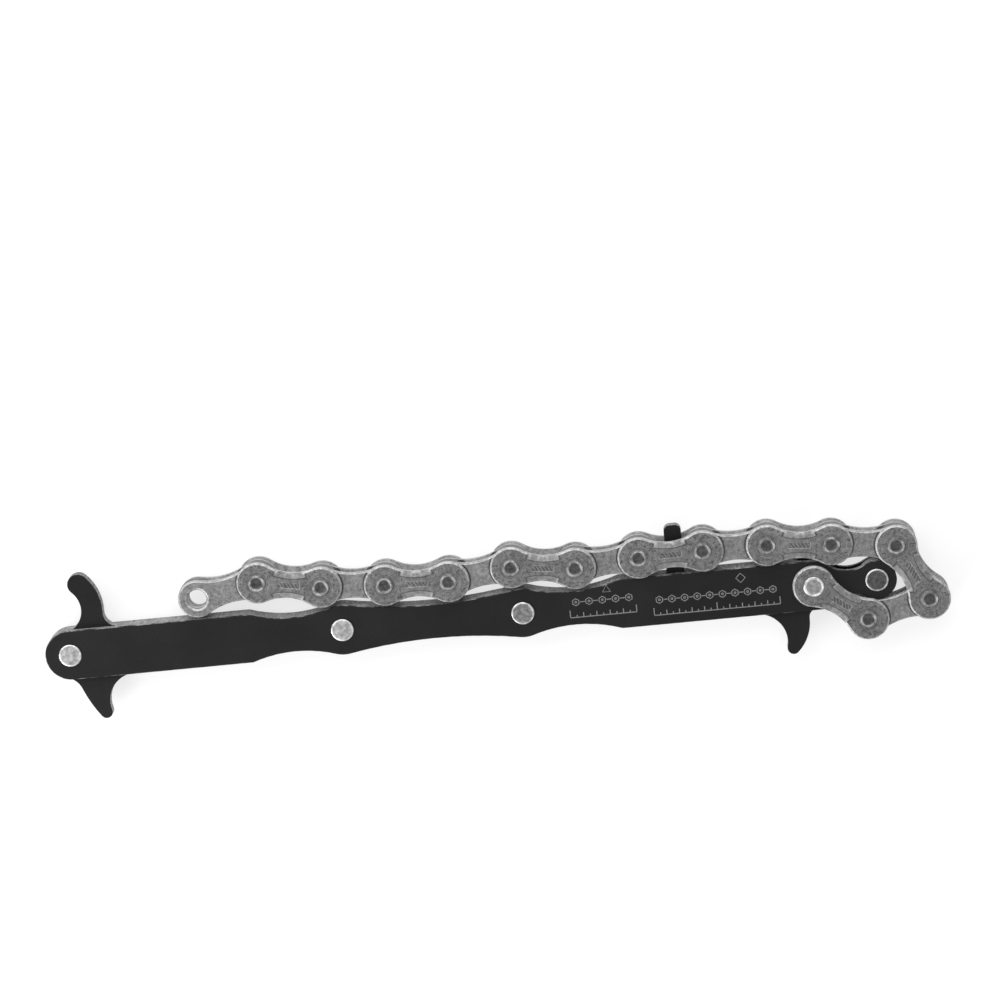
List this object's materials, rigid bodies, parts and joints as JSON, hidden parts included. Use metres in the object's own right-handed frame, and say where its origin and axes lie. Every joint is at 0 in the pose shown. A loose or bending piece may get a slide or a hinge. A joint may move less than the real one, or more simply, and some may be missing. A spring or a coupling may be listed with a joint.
{
  "type": "bicycle chain tool",
  "caption": "Riveted steel bar with a claw, a peg and two hooks for gauging and holding a chain, and a pivoted roller chain for gripping a sprocket.",
  "frame": {"origin": "under the middle of the whole tool, at the level of the lowest pin ends", "axes": "+X along the bar towards the pivot of its chain, +Y towards the claw and the stowed chain, +Z out of the front side plate"},
  "size_m": [0.1806, 0.0302, 0.0067],
  "materials": {
    "side_plate_black": "satin black coating, bare cut edges",
    "hook_plate_black": "satin black coating",
    "rivet_steel": "bare turned steel",
    "pivot_steel": "bare steel, peened",
    "pin_steel": "darkened steel, peened",
    "roller_steel": "darkened steel",
    "outer_link_steel": "dark grey steel, stamped and tumbled",
    "inner_link_steel": "dark grey steel, smooth"
  },
  "bodies": {
    "bar": {"front_side_plate": "side_plate_black", "back_side_plate": "side_plate_black", "hook_plate": "hook_plate_black", "handle_rivet": "rivet_steel", "middle_rivet": "rivet_steel", "body_rivet": "rivet_steel", "end_roller_pin": "rivet_steel"},
    "end_roller": {"end_roller": "roller_steel"},
    "link_01": {"link_01_front_plate": "outer_link_steel", "link_01_back_plate": "outer_link_steel", "pivot_pin": "pivot_steel", "link_01_pin": "pin_steel"},
    "link_02": {"link_02_front_plate": "inner_link_steel", "link_02_back_plate": "inner_link_steel"},
    "link_03": {"link_03_front_plate": "outer_link_steel", "link_03_back_plate": "outer_link_steel", "link_03_pins": "pin_steel"},
    "link_04": {"link_04_front_plate": "inner_link_steel", "link_04_back_plate": "inner_link_steel"},
    "link_05": {"link_05_front_plate": "outer_link_steel", "link_05_back_plate": "outer_link_steel", "link_05_pins": "pin_steel"},
    "link_06": {"link_06_front_plate": "inner_link_steel", "link_06_back_plate": "inner_link_steel"},
    "link_07": {"link_07_front_plate": "outer_link_steel", "link_07_back_plate": "outer_link_steel", "link_07_pins": "pin_steel"},
    "link_08": {"link_08_front_plate": "inner_link_steel", "link_08_back_plate": "inner_link_steel"},
    "link_09": {"link_09_front_plate": "outer_link_steel", "link_09_back_plate": "outer_link_steel", "link_09_pins": "pin_steel"},
    "link_10": {"link_10_front_plate": "inner_link_steel", "link_10_back_plate": "inner_link_steel"},
    "link_11": {"link_11_front_plate": "outer_link_steel", "link_11_back_plate": "outer_link_steel", "link_11_pins": "pin_steel"},
    "link_12": {"link_12_front_plate": "inner_link_steel", "link_12_back_plate": "inner_link_steel"},
    "link_13": {"link_13_front_plate": "outer_link_steel", "link_13_back_plate": "outer_link_steel", "link_13_pins": "pin_steel"},
    "link_14": {"link_14_front_plate": "inner_link_steel", "link_14_back_plate": "inner_link_steel"},
    "roller_02": {"roller_02": "roller_steel"},
    "roller_03": {"roller_03": "roller_steel"},
    "roller_04": {"roller_04": "roller_steel"},
    "roller_05": {"roller_05": "roller_steel"},
    "roller_06": {"roller_06": "roller_steel"},
    "roller_07": {"roller_07": "roller_steel"},
    "roller_08": {"roller_08": "roller_steel"},
    "roller_09": {"roller_09": "roller_steel"},
    "roller_10": {"roller_10": "roller_steel"},
    "roller_11": {"roller_11": "roller_steel"},
    "roller_12": {"roller_12": "roller_steel"},
    "roller_13": {"roller_13": "roller_steel"},
    "roller_14": {"roller_14": "roller_steel"},
    "roller_15": {"roller_15": "roller_steel"}
  },
  "joints": [
    {"name": "link_01_hinge", "type": "hinge", "parent": "bar", "child": "link_01", "pos_m": [0.06359, -0.00114, 0.00335], "axis": [0, 0, 1], "range_deg": [-0.8, 0]},
    {"name": "link_02_hinge", "type": "hinge", "parent": "link_01", "child": "link_02", "pos_m": [0.07375, -0.00876, 0.00335], "axis": [0, 0, -1], "range_deg": [0, 4.5]},
    {"name": "link_03_hinge", "type": "hinge", "parent": "link_02", "child": "link_03", "pos_m": [0.08611, -0.00582, 0.00335], "axis": [0, 0, 1], "range_deg": [-150, 0]},
    {"name": "link_04_hinge", "type": "hinge", "parent": "link_03", "child": "link_04", "pos_m": [0.08043, 0.00555, 0.00335], "axis": [0, 0, -1], "range_deg": [0, 105]},
    {"name": "link_05_hinge", "type": "hinge", "parent": "link_04", "child": "link_05", "pos_m": [0.06782, 0.00701, 0.00335], "axis": [0, 0, 1], "range_deg": [-50, 0]},
    {"name": "link_06_hinge", "type": "hinge", "parent": "link_05", "child": "link_06", "pos_m": [0.05516, 0.00804, 0.00335], "axis": [0, 0, -1], "range_deg": [0, 50]},
    {"name": "link_07_hinge", "type": "hinge", "parent": "link_06", "child": "link_07", "pos_m": [0.04246, 0.00815, 0.00335], "axis": [0, 0, 1], "range_deg": [-50, 0]},
    {"name": "link_08_hinge", "type": "hinge", "parent": "link_07", "child": "link_08", "pos_m": [0.02976, 0.00797, 0.00335], "axis": [0, 0, -1], "range_deg": [0, 50]},
    {"name": "link_09_hinge", "type": "hinge", "parent": "link_08", "child": "link_09", "pos_m": [0.0171, 0.00705, 0.00335], "axis": [0, 0, 1], "range_deg": [-50, 0]},
    {"name": "link_10_hinge", "type": "hinge", "parent": "link_09", "child": "link_10", "pos_m": [0.00448, 0.00847, 0.00335], "axis": [0, 0, -1], "range_deg": [0, 50]},
    {"name": "link_11_hinge", "type": "hinge", "parent": "link_10", "child": "link_11", "pos_m": [-0.00811, 0.0068, 0.00335], "axis": [0, 0, 1], "range_deg": [-50, 0]},
    {"name": "link_12_hinge", "type": "hinge", "parent": "link_11", "child": "link_12", "pos_m": [-0.0208, 0.0073, 0.00335], "axis": [0, 0, -1], "range_deg": [0, 50]},
    {"name": "link_13_hinge", "type": "hinge", "parent": "link_12", "child": "link_13", "pos_m": [-0.03348, 0.00813, 0.00335], "axis": [0, 0, 1], "range_deg": [-50, 0]},
    {"name": "link_14_hinge", "type": "hinge", "parent": "link_13", "child": "link_14", "pos_m": [-0.046, 0.01022, 0.00335], "axis": [0, 0, -1], "range_deg": [0, 50]},
    {"name": "roller_02_spin", "type": "hinge", "parent": "link_02", "child": "roller_02", "pos_m": [0.07375, -0.00876, 0.00335], "axis": [0, 0, 1], "continuous": true},
    {"name": "roller_03_spin", "type": "hinge", "parent": "link_02", "child": "roller_03", "pos_m": [0.08611, -0.00582, 0.00335], "axis": [0, 0, 1], "continuous": true},
    {"name": "roller_04_spin", "type": "hinge", "parent": "link_04", "child": "roller_04", "pos_m": [0.08043, 0.00555, 0.00335], "axis": [0, 0, 1], "continuous": true},
    {"name": "roller_05_spin", "type": "hinge", "parent": "link_04", "child": "roller_05", "pos_m": [0.06782, 0.00701, 0.00335], "axis": [0, 0, 1], "continuous": true},
    {"name": "roller_06_spin", "type": "hinge", "parent": "link_06", "child": "roller_06", "pos_m": [0.05516, 0.00804, 0.00335], "axis": [0, 0, 1], "continuous": true},
    {"name": "roller_07_spin", "type": "hinge", "parent": "link_06", "child": "roller_07", "pos_m": [0.04246, 0.00815, 0.00335], "axis": [0, 0, 1], "continuous": true},
    {"name": "roller_08_spin", "type": "hinge", "parent": "link_08", "child": "roller_08", "pos_m": [0.02976, 0.00797, 0.00335], "axis": [0, 0, 1], "continuous": true},
    {"name": "roller_09_spin", "type": "hinge", "parent": "link_08", "child": "roller_09", "pos_m": [0.0171, 0.00705, 0.00335], "axis": [0, 0, 1], "continuous": true},
    {"name": "roller_10_spin", "type": "hinge", "parent": "link_10", "child": "roller_10", "pos_m": [0.00448, 0.00847, 0.00335], "axis": [0, 0, 1], "continuous": true},
    {"name": "roller_11_spin", "type": "hinge", "parent": "link_10", "child": "roller_11", "pos_m": [-0.00811, 0.0068, 0.00335], "axis": [0, 0, 1], "continuous": true},
    {"name": "roller_12_spin", "type": "hinge", "parent": "link_12", "child": "roller_12", "pos_m": [-0.0208, 0.0073, 0.00335], "axis": [0, 0, 1], "continuous": true},
    {"name": "roller_13_spin", "type": "hinge", "parent": "link_12", "child": "roller_13", "pos_m": [-0.03348, 0.00813, 0.00335], "axis": [0, 0, 1], "continuous": true},
    {"name": "roller_14_spin", "type": "hinge", "parent": "link_14", "child": "roller_14", "pos_m": [-0.046, 0.01022, 0.00335], "axis": [0, 0, 1], "continuous": true},
    {"name": "roller_15_spin", "type": "hinge", "parent": "link_14", "child": "roller_15", "pos_m": [-0.05848, 0.00786, 0.00335], "axis": [0, 0, 1], "continuous": true},
    {"name": "end_roller_spin", "type": "hinge", "parent": "bar", "child": "end_roller", "pos_m": [0.07609, -0.00114, 0.00335], "axis": [0, 0, 1], "continuous": true}
  ]
}
